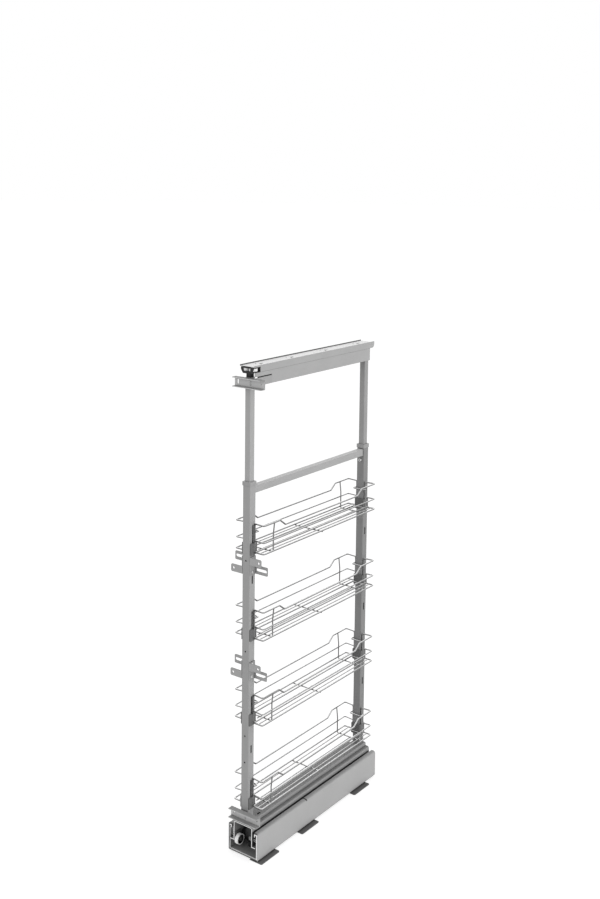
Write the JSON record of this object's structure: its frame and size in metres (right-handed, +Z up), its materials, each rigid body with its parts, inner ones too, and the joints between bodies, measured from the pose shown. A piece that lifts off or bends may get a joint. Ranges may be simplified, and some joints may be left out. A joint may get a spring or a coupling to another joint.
{
  "type": "pull-out larder unit",
  "caption": "Narrow pull-out larder unit: floor channel, telescopic carriage, height-adjustable steel frame with wire baskets and a top guide rail.",
  "frame": {"origin": "centre of the four floor-screw holes, on the underside of the floor tabs", "axes": "+Z up along the frame, -Y towards the front that pulls out, +X to the right seen from the front"},
  "size_m": [0.128, 0.5738, 1.314],
  "materials": {
    "grey_steel": "satin",
    "bracket_steel": "satin",
    "slide_steel": "brushed",
    "fastener_steel": "bright",
    "black_plastic": "matte",
    "white_nylon": "satin",
    "chrome_wire": "polished",
    "clip_plastic": "matte"
  },
  "bodies": {
    "base": {"base_channel": "grey_steel", "floor_tabs": "bracket_steel", "slide_outer_left": "slide_steel", "slide_outer_right": "slide_steel", "soft_close_body": "black_plastic", "soft_close_pin": "fastener_steel", "damper_cylinder": "fastener_steel"},
    "slide_middle": {"slide_middle_left": "slide_steel", "slide_middle_right": "slide_steel", "ball_cages_left": "slide_steel", "ball_cages_right": "slide_steel"},
    "pawl": {"closing_pawl": "black_plastic"},
    "carriage": {"carriage_channel": "grey_steel", "slide_inner_left": "slide_steel", "slide_inner_right": "slide_steel", "roller_bracket": "grey_steel", "frame_base_rail": "grey_steel", "front_post": "grey_steel", "rear_post": "grey_steel", "front_collar": "grey_steel", "rear_collar": "grey_steel", "crossbar": "grey_steel", "lock_screws": "fastener_steel", "bottom_bracket_spacer": "grey_steel", "bottom_bracket_screws": "fastener_steel", "bottom_front_bracket": "bracket_steel", "door_bracket_upper_left": "bracket_steel", "door_bracket_upper_right": "bracket_steel", "door_bracket_lower_left": "bracket_steel", "door_bracket_lower_right": "bracket_steel", "door_bracket_rivets": "fastener_steel"},
    "catch_roller": {"catch_roller": "white_nylon"},
    "upper_frame": {"front_upper_tube": "grey_steel", "rear_upper_tube": "grey_steel", "top_bar": "grey_steel", "front_head_bracket": "grey_steel", "front_guide": "black_plastic", "rear_guide": "black_plastic", "top_bracket_screws": "fastener_steel", "top_front_bracket": "bracket_steel"},
    "guide_roller_front_left": {"guide_roller_front_left": "white_nylon"},
    "guide_roller_front_right": {"guide_roller_front_right": "white_nylon"},
    "guide_roller_rear_left": {"guide_roller_rear_left": "white_nylon"},
    "guide_roller_rear_right": {"guide_roller_rear_right": "white_nylon"},
    "top_rail": {"top_rail": "grey_steel"},
    "bottom_basket": {"bottom_basket": "chrome_wire", "bottom_basket_loops": "chrome_wire", "bottom_basket_clips": "clip_plastic"},
    "lower_basket": {"lower_basket": "chrome_wire", "lower_basket_loops": "chrome_wire", "lower_basket_clips": "clip_plastic"},
    "upper_basket": {"upper_basket": "chrome_wire", "upper_basket_loops": "chrome_wire", "upper_basket_clips": "clip_plastic"},
    "top_basket": {"top_basket": "chrome_wire", "top_basket_loops": "chrome_wire", "top_basket_clips": "clip_plastic"}
  },
  "joints": [
    {"name": "pull_out", "type": "slide", "parent": "base", "child": "carriage", "axis": [0, -1, 0], "range_m": [0, 0.5]},
    {"name": "slide_middle_travel", "type": "slide", "parent": "base", "child": "slide_middle", "axis": [0, -1, 0], "range_m": [0, 0.25]},
    {"name": "pawl_swing", "type": "hinge", "parent": "base", "child": "pawl", "pos_m": [-0.0216, -0.218, 0.0485], "axis": [1, 0, 0], "range_deg": [0, 30]},
    {"name": "catch_roller_turn", "type": "hinge", "parent": "carriage", "child": "catch_roller", "pos_m": [-0.0216, -0.267, 0.0365], "axis": [1, 0, 0], "continuous": true},
    {"name": "height_adjust", "type": "slide", "parent": "carriage", "child": "upper_frame", "axis": [0, 0, 1], "range_m": [-0.1, 0.08]},
    {"name": "top_rail_stays", "type": "slide", "parent": "upper_frame", "child": "top_rail", "axis": [0, 1, 0], "range_m": [0, 0.5]},
    {"name": "guide_roller_front_left_turn", "type": "hinge", "parent": "upper_frame", "child": "guide_roller_front_left", "pos_m": [-0.0114, -0.2631, 1.3024], "axis": [0, 0, 1], "continuous": true},
    {"name": "guide_roller_front_right_turn", "type": "hinge", "parent": "upper_frame", "child": "guide_roller_front_right", "pos_m": [0.0114, -0.2631, 1.3024], "axis": [0, 0, 1], "continuous": true},
    {"name": "guide_roller_rear_left_turn", "type": "hinge", "parent": "upper_frame", "child": "guide_roller_rear_left", "pos_m": [-0.0114, 0.2607, 1.3024], "axis": [0, 0, 1], "continuous": true},
    {"name": "guide_roller_rear_right_turn", "type": "hinge", "parent": "upper_frame", "child": "guide_roller_rear_right", "pos_m": [0.0114, 0.2607, 1.3024], "axis": [0, 0, 1], "continuous": true},
    {"name": "bottom_basket_height", "type": "slide", "parent": "carriage", "child": "bottom_basket", "axis": [0, 0, 1], "range_m": [-0.025, 0.06]},
    {"name": "lower_basket_height", "type": "slide", "parent": "carriage", "child": "lower_basket", "axis": [0, 0, 1], "range_m": [-0.06, 0.03]},
    {"name": "upper_basket_height", "type": "slide", "parent": "carriage", "child": "upper_basket", "axis": [0, 0, 1], "range_m": [-0.035, 0.06]},
    {"name": "top_basket_height", "type": "slide", "parent": "carriage", "child": "top_basket", "axis": [0, 0, 1], "range_m": [0, 0.06]}
  ],
  "couplings": [
    {"joint": "slide_middle_travel", "follows": "pull_out", "ratio": 0.5},
    {"joint": "top_rail_stays", "follows": "pull_out", "ratio": 1}
  ]
}
